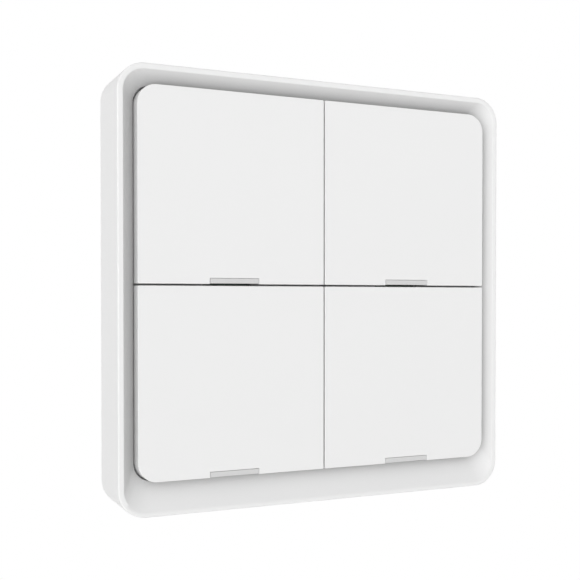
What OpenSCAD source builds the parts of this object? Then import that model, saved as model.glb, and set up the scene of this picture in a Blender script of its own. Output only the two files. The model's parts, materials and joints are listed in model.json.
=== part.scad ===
// Wireless wall switch: four hinged keys in a dished square frame, on a magnetic wall plate.
// All lengths are in millimetres and all angles are in degrees.
// Pieces are drawn lying on their back: x to the right, y up the face, z from the wall to the front.
// stand_on_wall() then turns them upright, with the front facing -Y and +Z up.

/* [Frame] */
// Width and height of the square frame
frame_w = 86; // [84:0.5:100]
// Corner radius of the frame, seen from the front
frame_corner_r = 5.4; // [4.8:0.1:9]
// Width of the rim around the dish
rim_w = 1.1; // [0.8:0.05:2]
// Rounding of the rim's outer edge
rim_round = 0.3; // [0.2:0.05:0.7]
// Wall thickness of the skirt
skirt_t = 1.8; // [1.4:0.1:2.4]
// Depth of the dish below the rim
dish_d = 2.8; // [2:0.1:3.4]
// Width of the dish at the top and at the sides
dish_w = 2.6; // [2.2:0.1:5]
// Width of the dish along the bottom
chin_w = 5.35; // [3:0.05:8]
// Shadow gap between the skirt and the wall
skirt_lift = 0.3; // [0:0.05:0.6]

/* [Keys] */
// How far the key faces lie behind the rim
key_recess = 0; // [0:0.05:0.5]
// Gap between the keys and the frame
key_gap = 0.15; // [0.1:0.05:0.5]
// Width of the level seam between the upper and lower keys
seam_w = 0.35; // [0.3:0.05:0.6]
// Height of the level seam above the middle of the frame
seam_y = 1.25; // [-3:0.05:4]
// Width of the upright seam between the left and right keys
split_w = 0.25; // [0.2:0.05:0.6]
// Thickness of a key's face
key_t = 1.6; // [1.2:0.1:1.8]
// Height of the nub between a key's face and its switch
nub_h = 1.5; // [1.2:0.05:3]
// Thickness of a key's side walls
key_wall_t = 1; // [0.8:0.05:1.3]
// Radius of the key at the outer corner of the face
key_corner_r = 3.8; // [2.6:0.1:6]
// Radius of a key's other three corners
key_small_r = 0.3; // [0.1:0.05:0.6]
// Width of the light window in a key's bottom edge
window_w = 10.3; // [6:0.1:12]
// Height of the light window's top edge above the key's bottom edge
window_h = 1.15; // [0.8:0.05:1.6]
// Height of the light window's bottom edge above the key's bottom edge
window_lift = 0.05; // [0:0.05:0.25]

/* [Hinges] */
// Diameter of a key's hinge pins
pin_d = 1.6; // [1.4:0.1:1.8]
// Radial clearance of a hinge pin in its bearing
pin_clearance = 0.05; // [0.02:0.01:0.1]
// Distance from a key's top edge down to its hinge axis
hinge_inset = 3; // [2.9:0.1:5]
// Height of the hinge axis above the carrier
hinge_rise = 1.5; // [1.4:0.1:1.8]
// Distance between the middles of a key's two hinge ears
hinge_spread = 25; // [20:0.5:26]

/* [Switches] */
// Width of a switch body
switch_w = 6; // [5.6:0.1:7]
// Height of a switch body above the board
switch_h = 3.5; // [3:0.1:3.8]
// Diameter of a switch's plunger
plunger_d = 3.5; // [2.4:0.1:3.8]
// Height of the plunger above the switch body
plunger_rise = 0.8; // [0.6:0.05:1]
// Travel of the plunger
switch_travel = 0.5; // [0.2:0.05:0.6]
// Distance from the hinge axis down to the switch
switch_arm = 24; // [20:0.5:26]

/* [Inside] */
// Thickness of the circuit board
board_t = 1; // [0.8:0.1:1.2]
// Diameter of the coin cell
cell_d = 24.5; // [16:0.5:25]
// Thickness of the coin cell
cell_h = 3; // [2.5:0.1:3.2]
// Floor thickness of the rear tray
tray_t = 1.2; // [1:0.1:1.4]
// Wall thickness of the rear tray
tray_wall_t = 1.2; // [0.9:0.1:1.6]
// Thickness of the key carrier
carrier_t = 1.2; // [1:0.1:1.4]
// Shank diameter of the case screws
screw_d = 2; // [1.6:0.1:2.2]
// Length of the radio module
radio_l = 18; // [12:0.5:19]
// Width of the radio module
radio_w = 13; // [9:0.5:14]

/* [Wall plate] */
// Thickness of the wall plate
plate_t = 1.8; // [1.7:0.1:2.2]
// Gap between the wall plate and the skirt
plate_gap = 0.4; // [0.2:0.05:0.8]
// Diameter of the circle that the wall screws lie on
wall_screw_pcd = 60; // [50:0.5:64]
// Diameter of the wall screw holes
wall_hole_d = 4.2; // [3.2:0.1:4.6]
// Diameter of the magnets and of the steel discs that they hold
magnet_d = 10; // [6:0.5:11]
// Thickness of the magnets
magnet_t = 1.2; // [0.8:0.1:1.2]

/* [Hidden] */
$fn = 64;
// Bite of one shape into another that it is joined to
bite = 0.05;
// Overshoot of a cutting tool past the face that it cuts
over = 1;

// Outlines, as insets from the frame's outer face
half_w = frame_w / 2;
slip = 0.2;
tray_inset = skirt_t + slip;
board_inset = tray_inset + tray_wall_t + slip;
plate_inset = skirt_t + plate_gap;

// The cell's seat: lips behind it and a flat contact spring in front
lip_t = 0.25;
cell_play = 0.05;
contact_t = 0.15;

// Levels, counted from the wall
cover_gap = 0.2;
parts_room = 1.7;
cover_z = plate_t + cover_gap;
cover_top = cover_z + tray_t;
cell_z = cover_z + lip_t + cell_play;
cell_top = cell_z + cell_h;
board_z = cell_top + contact_t + 2 * cell_play;
board_top = board_z + board_t;
switch_top = board_top + switch_h;
plunger_top = switch_top + plunger_rise;
carrier_z = board_top + parts_room;
carrier_top = carrier_z + carrier_t;
hinge_z = carrier_top + hinge_rise;
nub_gap = 0.05;
nub_z = plunger_top + nub_gap;
under_z = nub_z + nub_h;
face_z = under_z + key_t;
frame_d = face_z + key_recess;
dish_z = frame_d - dish_d;

// The panel of keys. A row is 1 for the upper keys and -1 for the lower ones
panel_x = half_w - rim_w - dish_w - key_gap;
panel_top = panel_x;
panel_bottom = -(half_w - rim_w - chin_w - key_gap);
key_mid_x = (panel_x + split_w / 2) / 2;
function key_top(row) = row > 0 ? panel_top : seam_y - seam_w / 2;
function key_bottom(row) = row > 0 ? seam_y + seam_w / 2 : panel_bottom;
function key_h(row) = key_top(row) - key_bottom(row);
function hinge_y(row) = key_top(row) - hinge_inset;
function switch_y(row) = hinge_y(row) - switch_arm;

// The swing that presses a plunger home, and how far the longer keys' bottom edge then moves
swing = asin(switch_travel / switch_arm);
edge_travel = sin(swing) * (max(key_h(1), key_h(-1)) - hinge_inset);
foot_clearance = 0.1;
key_foot_z = carrier_top + edge_travel + foot_clearance;

// Hinge ears on the keys, and the open-topped bearings that stand beside them
ear_t = 1.4;
ear_wall = 0.4;
ear_r = pin_d / 2 + ear_wall;
ear_gap = 0.2;
bearing_t = 1.6;
bearing_wall = 0.7;
bearing_half = pin_d / 2 + bearing_wall;
bearing_lip = 0.5;
pin_l = ear_gap + bearing_t;

// Hooks that keep the keys from lifting off the carrier
hook_spread = 26;
hook_inset = 4.5;
hook_w = 3;
hook_t = 1;
hook_reach = 0.6;
hook_h = 0.7;
hook_lip = 0.25;
hook_tip = 0.65;
hook_play = 0.1;
hook_slot_play = 0.25;
hook_top = carrier_z - hook_play;

// Ribs and the pressing nub under a key's face
rib_t = 0.9;
rib_h = 1;
rib_spread = 17;
rib_end_gap = 6.5;
nub_d = 3;

// Light guides and their lamps
guide_play = 0.05;
guide_foot_w = 4;
guide_wing = 1.5;
guide_flange_t = 0.8;
guide_flange_l = 2.2;
guide_slot_play = 0.5;
lamp_size = [1.6, 0.8, 0.6];
lamp_gap = 0.5;
guide_z = board_top + lamp_size[2] + edge_travel + lamp_gap;

// Switch details
switch_corner_r = 0.5;
switch_cap_t = 0.4;
switch_tab_w = 2;
switch_tab_t = 0.25;
switch_tab_h = 1.6;
switch_window_play = 0.5;
plunger_play = 0.2;
plunger_flange = 0.55;
plunger_flange_t = 0.5;
plunger_sink = 1.5;
stop_gap = 0.05;
terminal_w = 0.7;
terminal_t = 0.2;
terminal_l = 1;
terminal_h = 1.4;
terminal_pitch = 4.5;

// Case screws, from the tray into bosses on the carrier
boss_wall = 1.3;
boss_d = screw_d + 2 * boss_wall;
boss_gap = 2.5;
boss_x = half_w - tray_inset - tray_wall_t - boss_d / 2 - boss_gap;
boss_y = 22;
boss_clearance = 0.25;
pad_rim = 1;
pad_d = boss_d + 2 * pad_rim;
pad_h = 0.8;
head_rim = 0.95;
head_d = screw_d + 2 * head_rim;
head_h = 0.7;
head_play = 0.15;
screw_play = 0.15;
thread_play = 0.03;
screw_tip = 0.6;
screw_tip_d = 0.7;
drive_l = 2.4;
drive_w = 0.5;
drive_d = 0.35;

// Pillars that clamp the board between the tray and the carrier
pillar_d = 3;
pillar_gap = 2;
pillar_at = half_w - board_inset - pillar_d / 2 - pillar_gap;

// The cell's well in the tray, and the cell's own form
well_play = 0.3;
well_r = cell_d / 2 + well_play;
well_wall_t = 1.2;
well_gap = 0.35;
well_h = board_z - cover_top - well_gap;
well_lip = 1;
well_lip_w = 4;
finger_r = 4;
cell_round = 0.4;
cell_cap_h = 0.4;
cell_cap_inset = 2.2;
contact_w = 6;
leaf_t = 0.2;
leaf_foot_l = 3;
spider_r = 4;
spider_l = 14;
spider_w = 2.4;

// Small parts on the board
radio_gap = 5.6;
radio_y = pillar_at - pillar_d / 2 - radio_gap - radio_l / 2;
radio_board_t = 0.7;
radio_edge = 0.8;
radio_aerial_l = 5;
radio_can_t = 0.2;
radio_can_h = 0.8;
radio_pad_r = 0.3;
radio_pad_pitch = 1.5;
radio_window_play = 0.5;
chip_size = [1.6, 0.8, 0.45];
chip_from_lamp = 5;
chip_count = 4;
chip_pitch = 3;
chip_gap = 2;

// Wall plate details
plate_bevel = 0.4;
plate_core_d = 0.5;
plate_rim = 2;
plate_rib = 2;
plate_pad = 2;
magnet_edge = 9.8;
magnet_at = half_w - plate_inset - magnet_d / 2 - magnet_edge;
magnet_play = 0.1;
keeper_t = 0.5;
countersink = 1;

// Snap nubs on the tray, and the pockets in the skirt that they catch in
snap_w = 6;
snap_h = 1;
snap_flat = 0.2;
snap_out = 0.45;
snap_play = 0.2;
snap_spread = 44;
snap_rise = 1.8;
snap_z = cover_top + snap_rise;
pry_w = 12;
pry_d = 1;

// Coring pockets behind the dish's bottom slope
core_count = 5;
core_rib = 1.2;
core_wall = 1.3;
core_span = 2 * (half_w - frame_corner_r);
core_w = (core_span - (core_count - 1) * core_rib) / core_count;

// Turns a piece from lying on its back to standing on the wall
module stand_on_wall() {
    rotate([90, 0, 0]) children();
}

// Repeats a piece at the four points (+-x, +-y)
module at_four(x, y) {
    for (sx = [-1, 1], sy = [-1, 1]) translate([sx * x, sy * y, 0]) children();
}

// Repeats a piece at four points on a circle, right, top, left and bottom
module at_quarters(r) {
    for (turn = [0:90:270]) rotate(turn) translate([r, 0, 0]) children();
}

// Repeats a piece over the four switches
module at_switches() {
    for (col = [-1, 1], row = [-1, 1]) translate([col * key_mid_x, switch_y(row), 0]) children();
}

// Repeats a piece at the middle of the four keys' bottom edges
module at_windows() {
    for (col = [-1, 1], row = [-1, 1]) translate([col * key_mid_x, key_bottom(row), 0]) children();
}

// Extrudes an outline that is drawn with y across and z up, along x
module along_x(length) {
    translate([-length / 2, 0, 0]) rotate([90, 0, 90]) linear_extrude(length) children();
}

// Rectangle between two corners, with round corners
module rounded(x0, x1, y0, y1, r) {
    translate([x0 + r, y0]) square([x1 - x0 - 2 * r, y1 - y0]);
    translate([x0, y0 + r]) square([x1 - x0, y1 - y0 - 2 * r]);
    for (x = [x0 + r, x1 - r], y = [y0 + r, y1 - r]) translate([x, y]) circle(r);
}

// The frame's outline, drawn in by an inset
module frame_outline(inset) {
    a = half_w - inset;
    rounded(-a, a, -a, a, frame_corner_r - inset);
}

// The opening that the keys stand in, at the foot of the dish
module opening_outline() {
    x = panel_x + key_gap;
    rounded(-x, x, panel_bottom - key_gap, panel_top + key_gap, key_corner_r + key_gap);
}

// Sweeps a section around a square with the frame's corner centres, and fills the middle to a depth.
// The section's x runs outwards from the corner centre
module swept_slab(z, depth) {
    c = half_w - frame_corner_r;
    for (turn = [0:90:270]) rotate(turn) translate([c, c, 0]) {
        rotate_extrude(angle = 90) children();
        rotate([90, 0, 0]) linear_extrude(2 * c) children();
    }
    translate([-c, -c, z]) cube([2 * c, 2 * c, depth]);
}

// Section of the frame's edge: straight skirt, rounded at the front
module frame_section() {
    h = frame_d - skirt_lift;
    translate([0, skirt_lift]) square([frame_corner_r, h - rim_round]);
    translate([0, skirt_lift]) square([frame_corner_r - rim_round, h]);
    translate([frame_corner_r - rim_round, frame_d - rim_round]) circle(rim_round);
}

// Sloping dish from the rim down to the keys, wider along the bottom
module dish() {
    hull() {
        translate([0, 0, frame_d]) linear_extrude(over) frame_outline(rim_w);
        translate([0, 0, dish_z]) linear_extrude(bite) opening_outline();
    }
}

// Pockets that core out the thick bottom of the frame, with a roof parallel to the dish
module chin_cores() {
    opening_y = panel_bottom - key_gap;
    inner_y = opening_y - core_wall;
    outer_y = -(half_w - skirt_t);
    slope = dish_d / chin_w;
    roof_t = core_wall / cos(atan(slope));
    for (i = [0:core_count - 1]) {
        x = (core_w - core_span) / 2 + i * (core_w + core_rib);
        translate([x, 0, 0]) along_x(core_w) polygon([
            [outer_y, carrier_top - over],
            [inner_y, carrier_top - over],
            [inner_y, dish_z + (opening_y - inner_y) * slope - roof_t],
            [outer_y, dish_z + (opening_y - outer_y) * slope - roof_t]
        ]);
    }
}

// Repeats a piece at the eight snaps, two on each side, with x pointing outwards from the tray's wall
module at_snaps() {
    for (turn = [0:90:270], side = [-1, 1]) {
        rotate(turn) translate([half_w - tray_inset, side * snap_spread / 2, snap_z]) children();
    }
}

module snap_nub() {
    ramp = (snap_h - snap_flat) / 2;
    translate([0, snap_w / 2, 0]) rotate([90, 0, 0]) linear_extrude(snap_w) polygon([
        [-bite, 0], [0, 0], [snap_out, ramp], [snap_out, ramp + snap_flat], [0, snap_h], [-bite, snap_h]
    ]);
}

module snap_pocket() {
    w = snap_w + 2 * snap_play;
    translate([0, -w / 2, -snap_play]) cube([snap_out + snap_play / 2, w, snap_h + 2 * snap_play]);
}

module bezel() {
    color("white") stand_on_wall() difference() {
        swept_slab(skirt_lift, frame_d - skirt_lift) frame_section();
        dish();
        translate([0, 0, carrier_top - over]) linear_extrude(frame_d) opening_outline();
        translate([0, 0, -over]) linear_extrude(carrier_top + over) frame_outline(skirt_t);
        chin_cores();
        at_snaps() snap_pocket();
        translate([-pry_w / 2, -half_w - over, -over]) {
            cube([pry_w, skirt_t + 2 * over, skirt_lift + pry_d + over]);
        }
    }
}

// Ring wall around the cell, open where the contact leaf stands
module cell_well() {
    gap_w = contact_w + 2 * slip;
    translate([0, 0, cover_top - bite]) difference() {
        cylinder(r = well_r + well_wall_t, h = well_h + bite);
        translate([-well_r - well_wall_t - over, -gap_w / 2, 0]) cube([well_r, gap_w, well_h + over]);
    }
}

// Three lips that the cell snaps past
module cell_lips() {
    translate([0, 0, cover_z]) linear_extrude(lip_t) intersection() {
        difference() {
            circle(well_r + well_lip);
            circle(well_r - well_lip);
        }
        for (turn = [90:120:330]) rotate(turn) translate([0, -well_lip_w / 2]) {
            square([2 * well_r, well_lip_w]);
        }
    }
}

module rear_tray() {
    color("gainsboro") stand_on_wall() {
        difference() {
            union() {
                difference() {
                    translate([0, 0, cover_z]) linear_extrude(carrier_z - cover_z) frame_outline(tray_inset);
                    translate([0, 0, cover_top]) linear_extrude(carrier_z) {
                        frame_outline(tray_inset + tray_wall_t);
                    }
                }
                at_four(boss_x, boss_y) translate([0, 0, cover_top - bite]) {
                    cylinder(d = pad_d, h = pad_h + bite);
                }
                at_quarters(pillar_at) translate([0, 0, cover_top - bite]) {
                    cylinder(d = pillar_d, h = board_z - cover_top + bite);
                }
                at_snaps() snap_nub();
                cell_well();
            }
            translate([0, 0, cover_z - over]) cylinder(r = well_r, h = tray_t + well_h + 2 * over);
            translate([well_r, 0, cover_z - over]) cylinder(r = finger_r, h = tray_t + well_h + 2 * over);
            at_four(boss_x, boss_y) translate([0, 0, cover_z]) {
                translate([0, 0, -over]) cylinder(d = head_d + 2 * head_play, h = head_h + head_play + over);
                cylinder(d = screw_d + 2 * screw_play, h = tray_t + pad_h + over);
            }
            at_four(magnet_at, magnet_at) translate([0, 0, cover_z - over]) {
                cylinder(d = magnet_d + 2 * magnet_play, h = keeper_t + magnet_play + over);
            }
        }
        cell_lips();
    }
}

// Section of the wall plate's edge, bevelled at the front
module plate_section() {
    r = frame_corner_r - plate_inset;
    polygon([[0, 0], [r, 0], [r, plate_t - plate_bevel], [r - plate_bevel, plate_t], [0, plate_t]]);
}

// Shallow pockets in the plate's back, between its rim, ribs and the pads at the screws and magnets
module plate_cores() {
    translate([0, 0, -over]) linear_extrude(plate_core_d + over) difference() {
        frame_outline(plate_inset + plate_rim);
        for (turn = [0:45:135]) rotate(turn) square([2 * frame_w, plate_rib], center = true);
        at_quarters(wall_screw_pcd / 2) circle(d = wall_hole_d + 2 * plate_pad);
        at_four(magnet_at, magnet_at) circle(d = magnet_d + 2 * plate_pad);
    }
}

module wall_plate() {
    color("whitesmoke") stand_on_wall() difference() {
        swept_slab(0, plate_t) plate_section();
        plate_cores();
        at_quarters(wall_screw_pcd / 2) {
            translate([0, 0, -over]) cylinder(d = wall_hole_d, h = plate_t + 2 * over);
            translate([0, 0, plate_t - countersink]) {
                cylinder(d1 = wall_hole_d, d2 = wall_hole_d + 4 * countersink, h = 2 * countersink);
            }
        }
        at_four(magnet_at, magnet_at) translate([0, 0, plate_t - magnet_t - magnet_play]) {
            cylinder(d = magnet_d + 2 * magnet_play, h = magnet_t + over);
        }
    }
}

module wall_magnets() {
    color("silver") stand_on_wall() at_four(magnet_at, magnet_at) {
        translate([0, 0, plate_t - magnet_t - magnet_play]) cylinder(d = magnet_d, h = magnet_t);
    }
}

module keeper_discs() {
    color("darkgray") stand_on_wall() at_four(magnet_at, magnet_at) {
        translate([0, 0, cover_z + magnet_play]) cylinder(d = magnet_d, h = keeper_t);
    }
}

// Outline of a right-hand key, drawn in by an inset. Only the corner at the frame's corner is large
module key_outline(row, inset) {
    x1 = panel_x - inset;
    y0 = key_bottom(row) + inset;
    y1 = key_top(row) - inset;
    r = key_corner_r - inset;
    difference() {
        rounded(split_w / 2 + inset, x1, y0, y1, key_small_r);
        translate([x1 - r, row > 0 ? y1 - r : y0 + r]) mirror([0, row > 0 ? 0 : 1, 0]) difference() {
            square(r + over);
            circle(r);
        }
    }
}

module key_shell(row) {
    difference() {
        translate([0, 0, key_foot_z]) linear_extrude(face_z - key_foot_z) key_outline(row, 0);
        translate([0, 0, key_foot_z - over]) {
            linear_extrude(under_z - key_foot_z + over) key_outline(row, key_wall_t);
        }
    }
}

// Two upright ribs and a cross rib at the switch
module key_ribs(row) {
    y0 = key_bottom(row) + rib_end_gap;
    y1 = key_top(row) - rib_end_gap;
    translate([key_mid_x, 0, under_z - rib_h]) {
        for (side = [-1, 1]) translate([(side * rib_spread - rib_t) / 2, y0, 0]) {
            cube([rib_t, y1 - y0, rib_h + bite]);
        }
        translate([-rib_spread / 2, switch_y(row) - rib_t / 2, 0]) cube([rib_spread, rib_t, rib_h + bite]);
    }
}

// A hinge ear with its pin, on the right of the key's middle
module hinge_ear() {
    translate([(hinge_spread - ear_t) / 2, 0, hinge_z]) {
        translate([0, -ear_r, 0]) cube([ear_t, 2 * ear_r, under_z - hinge_z + bite]);
        rotate([0, 90, 0]) cylinder(r = ear_r, h = ear_t);
        rotate([0, 90, 0]) cylinder(d = pin_d, h = ear_t + pin_l);
    }
}

// A springy hook that passes through the carrier and catches behind it
module key_hook() {
    along_x(hook_w) polygon([
        [0, under_z + bite], [0, hook_top], [-hook_reach, hook_top], [-hook_reach, hook_top - hook_lip],
        [hook_t - hook_tip, hook_top - hook_h], [hook_t, hook_top - hook_h], [hook_t, under_z + bite]
    ]);
}

// Notch in the bottom edge for the light guide: the window's height in the face, the whole wall behind it
module window_notch() {
    translate([-window_w / 2, -over, key_foot_z - over]) {
        cube([window_w, window_h + over, face_z - key_foot_z + 2 * over]);
        cube([window_w, key_wall_t + 2 * over, under_z - key_foot_z + over]);
    }
}

// A right-hand key: hollow cap, ribs, hinge ears, hooks and the nub over its switch
module key(row) {
    color("white") difference() {
        union() {
            key_shell(row);
            key_ribs(row);
            translate([key_mid_x, switch_y(row), nub_z]) cylinder(d = nub_d, h = nub_h + bite);
            for (side = [0, 1]) translate([key_mid_x, hinge_y(row), 0]) mirror([side, 0, 0]) hinge_ear();
            for (side = [-1, 1]) {
                translate([key_mid_x + side * hook_spread / 2, key_bottom(row) + hook_inset, 0]) key_hook();
            }
        }
        translate([key_mid_x, key_bottom(row), 0]) window_notch();
    }
}

// Clear guide: a window in the key's edge, a stem that narrows towards the lamp, and a flange behind the face
module light_guide(row) {
    top_w = window_w - 2 * guide_play;
    depth = window_h - guide_play;
    flange_z = under_z - guide_flange_t;
    wing_y = max(key_wall_t, window_h) + guide_play;
    color("lightcyan") translate([key_mid_x, key_bottom(row), 0]) {
        translate([0, depth, 0]) rotate([90, 0, 0]) linear_extrude(depth - window_lift) polygon([
            [-top_w / 2, face_z], [top_w / 2, face_z], [top_w / 2, flange_z],
            [guide_foot_w / 2, guide_z], [-guide_foot_w / 2, guide_z], [-top_w / 2, flange_z]
        ]);
        translate([0, 0, flange_z]) linear_extrude(guide_flange_t) {
            translate([-top_w / 2, depth - bite]) square([top_w, guide_flange_l + bite]);
            translate([-window_w / 2 - guide_wing, wing_y]) {
                square([window_w + 2 * guide_wing, depth + guide_flange_l - wing_y]);
            }
        }
    }
}

// Open-topped bearing that a hinge pin snaps into, on the right of the key's middle
module hinge_bearing() {
    translate([(hinge_spread + ear_t) / 2 + ear_gap, 0, 0]) difference() {
        translate([0, -bearing_half, carrier_top - bite]) {
            cube([bearing_t, 2 * bearing_half, hinge_rise + bearing_lip + bite]);
        }
        translate([-over, 0, hinge_z]) rotate([0, 90, 0]) {
            cylinder(r = pin_d / 2 + pin_clearance, h = bearing_t + 2 * over);
        }
    }
}

// Cuts through the carrier for the switches, light guides, hooks and radio
module carrier_cuts() {
    h = carrier_t + 2 * over;
    translate([0, 0, carrier_z - over]) {
        at_switches() linear_extrude(h) square(switch_w + 2 * switch_window_play, center = true);
        at_windows() translate([-window_w / 2, -guide_slot_play, 0]) {
            cube([window_w, window_h + 2 * guide_slot_play, h]);
        }
        at_windows() for (side = [-1, 1]) {
            translate([(side * hook_spread - hook_w) / 2 - hook_slot_play, hook_inset - hook_slot_play, 0]) {
                cube([hook_w + 2 * hook_slot_play, hook_t + hook_reach + 2 * hook_slot_play, h]);
            }
        }
        translate([0, radio_y, 0]) linear_extrude(h) {
            square([radio_w + 2 * radio_window_play, radio_l + 2 * radio_window_play], center = true);
        }
    }
}

module key_carrier() {
    boss_z = cover_top + pad_h;
    color("lightgray") stand_on_wall() difference() {
        union() {
            translate([0, 0, carrier_z]) linear_extrude(carrier_t) frame_outline(tray_inset);
            for (col = [-1, 1], row = [-1, 1], side = [0, 1]) {
                translate([col * key_mid_x, hinge_y(row), 0]) mirror([side, 0, 0]) hinge_bearing();
            }
            at_four(boss_x, boss_y) translate([0, 0, boss_z]) {
                cylinder(d = boss_d, h = carrier_z - boss_z + bite);
            }
            at_quarters(pillar_at) translate([0, 0, board_top]) cylinder(d = pillar_d, h = parts_room + bite);
        }
        carrier_cuts();
        at_four(boss_x, boss_y) translate([0, 0, boss_z - over]) {
            cylinder(d = screw_d + 2 * thread_play, h = carrier_z - boss_z + over);
        }
    }
}

// A case screw, head down, with a cross recess
module case_screw() {
    shank_top = carrier_z - screw_tip - 2 * thread_play;
    difference() {
        translate([0, 0, cover_z + head_play]) {
            cylinder(d = head_d, h = head_h);
            cylinder(d = screw_d, h = shank_top - cover_z - head_play);
        }
        for (turn = [0, 90]) rotate(turn) translate([0, 0, cover_z + head_play]) {
            cube([drive_l, drive_w, 2 * drive_d], center = true);
        }
    }
    translate([0, 0, shank_top]) cylinder(d1 = screw_d, d2 = screw_tip_d, h = screw_tip);
}

module case_screws() {
    color("dimgray") stand_on_wall() at_four(boss_x, boss_y) case_screw();
}

module circuit_board() {
    color("darkgreen") stand_on_wall() translate([0, 0, board_z]) linear_extrude(board_t) difference() {
        frame_outline(board_inset);
        at_four(boss_x, boss_y) circle(d = boss_d + 2 * boss_clearance);
    }
}

module switch_outline() {
    a = switch_w / 2;
    rounded(-a, a, -a, a, switch_corner_r);
}

// Nylon base with a well for the plunger
module switch_bodies() {
    well_depth = plunger_sink + switch_travel + stop_gap;
    color("black") stand_on_wall() at_switches() difference() {
        translate([0, 0, board_top]) linear_extrude(switch_h - switch_cap_t) switch_outline();
        translate([0, 0, switch_top - well_depth]) {
            cylinder(r = plunger_d / 2 + plunger_flange + plunger_play, h = well_depth);
        }
    }
}

// Steel cap over the base, with two tabs folded down its sides
module switch_caps() {
    color("silver") stand_on_wall() at_switches() {
        translate([0, 0, switch_top - switch_cap_t]) linear_extrude(switch_cap_t) difference() {
            union() {
                switch_outline();
                square([switch_tab_w, switch_w + 2 * switch_tab_t], center = true);
            }
            circle(plunger_d / 2 + plunger_play);
        }
        for (side = [0, 1]) mirror([0, side, 0]) {
            translate([-switch_tab_w / 2, switch_w / 2, switch_top - switch_tab_h]) {
                cube([switch_tab_w, switch_tab_t, switch_tab_h - bite]);
            }
        }
    }
}

// Four bent leads on each switch
module switch_terminals() {
    color("silver") stand_on_wall() at_switches() for (side = [0, 1], y = [-1, 1]) {
        mirror([side, 0, 0]) translate([switch_w / 2, (y * terminal_pitch + terminal_w) / 2, board_top]) {
            rotate([90, 0, 0]) linear_extrude(terminal_w) polygon([
                [0, 0], [terminal_l, 0], [terminal_l, terminal_t],
                [terminal_t, terminal_t], [terminal_t, terminal_h], [0, terminal_h]
            ]);
        }
    }
}

// Plunger of a right-hand switch, kept in by a flange under the steel cap
module plunger(row) {
    color("dimgray") translate([key_mid_x, switch_y(row), 0]) {
        translate([0, 0, switch_top - plunger_sink]) cylinder(d = plunger_d, h = plunger_sink + plunger_rise);
        translate([0, 0, switch_top - switch_cap_t - stop_gap - plunger_flange_t]) {
            cylinder(r = plunger_d / 2 + plunger_flange, h = plunger_flange_t);
        }
    }
}

module indicator_lamps() {
    color("lightyellow") stand_on_wall() at_windows() {
        translate([-lamp_size[0] / 2, (window_h - lamp_size[1]) / 2, board_top]) cube(lamp_size);
    }
}

// Small board with half-round solder pads along both long sides, up to the aerial end
module radio_module() {
    first_pad = radio_pad_pitch - radio_l / 2;
    last_pad = radio_l / 2 - radio_aerial_l;
    color("midnightblue") stand_on_wall() translate([0, radio_y, board_top]) linear_extrude(radio_board_t) {
        difference() {
            square([radio_w, radio_l], center = true);
            for (x = [-radio_w, radio_w], y = [first_pad:radio_pad_pitch:last_pad]) {
                translate([x / 2, y]) circle(radio_pad_r);
            }
        }
    }
}

// Folded screening can over the radio chip, clear of the aerial end
module radio_can() {
    w = radio_w - 2 * radio_edge;
    l = radio_l - radio_aerial_l - radio_edge;
    color("silver") stand_on_wall() {
        translate([-w / 2, radio_y - radio_l / 2 + radio_edge, board_top + radio_board_t]) difference() {
            cube([w, l, radio_can_h]);
            translate([radio_can_t, radio_can_t, -over]) {
                cube([w - 2 * radio_can_t, l - 2 * radio_can_t, radio_can_h - radio_can_t + over]);
            }
        }
    }
}

// Resistors beside the lamps, and a row of capacitors beside the radio
module chip_parts() {
    color("saddlebrown") stand_on_wall() {
        at_windows() translate([chip_from_lamp, (window_h - chip_size[1]) / 2, board_top]) cube(chip_size);
        for (i = [0:chip_count - 1]) {
            y = radio_y + (i - (chip_count - 1) / 2) * chip_pitch;
            translate([-radio_w / 2 - chip_gap - chip_size[0], y, board_top]) cube(chip_size);
        }
    }
}

// Section of the coin cell: a round-edged can, and a smaller cap in front
module cell_section() {
    r = cell_d / 2;
    can_h = cell_h - cell_cap_h;
    square([r - cell_round, can_h]);
    translate([0, cell_round]) square([r, can_h - 2 * cell_round]);
    for (y = [cell_round, can_h - cell_round]) translate([r - cell_round, y]) circle(cell_round);
    square([r - cell_cap_inset, cell_h]);
}

module coin_cell() {
    color("silver") stand_on_wall() translate([0, 0, cell_z]) rotate_extrude() cell_section();
}

// Flat cross-shaped spring between the cell's cap and the board
module battery_spider() {
    color("gold") stand_on_wall() translate([0, 0, cell_top + cell_play]) linear_extrude(contact_t) {
        circle(spider_r);
        for (turn = [45, 135]) rotate(turn) square([spider_l, spider_w], center = true);
    }
}

// Bent leaf from the board down the side of the cell's can
module battery_leaf() {
    leaf_h = board_z - cover_top - slip;
    color("gold") stand_on_wall() translate([-cell_d / 2 - cell_play, contact_w / 2, board_z]) {
        rotate([90, 0, 0]) linear_extrude(contact_w) polygon([
            [0, 0], [0, -leaf_h], [-leaf_t, -leaf_h],
            [-leaf_t, -leaf_t], [-leaf_foot_l, -leaf_t], [-leaf_foot_l, 0]
        ]);
    }
}

bezel();
rear_tray();
wall_plate();
wall_magnets();
keeper_discs();
stand_on_wall() mirror([1, 0, 0]) key(1);  // key_upper_left
stand_on_wall() key(1);  // key_upper_right
stand_on_wall() mirror([1, 0, 0]) key(-1);  // key_lower_left
stand_on_wall() key(-1);  // key_lower_right
stand_on_wall() mirror([1, 0, 0]) light_guide(1);  // light_guide_upper_left
stand_on_wall() light_guide(1);  // light_guide_upper_right
stand_on_wall() mirror([1, 0, 0]) light_guide(-1);  // light_guide_lower_left
stand_on_wall() light_guide(-1);  // light_guide_lower_right
key_carrier();
case_screws();
circuit_board();
switch_bodies();
switch_caps();
switch_terminals();
stand_on_wall() mirror([1, 0, 0]) plunger(1);  // plunger_upper_left
stand_on_wall() plunger(1);  // plunger_upper_right
stand_on_wall() mirror([1, 0, 0]) plunger(-1);  // plunger_lower_left
stand_on_wall() plunger(-1);  // plunger_lower_right
indicator_lamps();
radio_module();
radio_can();
chip_parts();
coin_cell();
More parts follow.
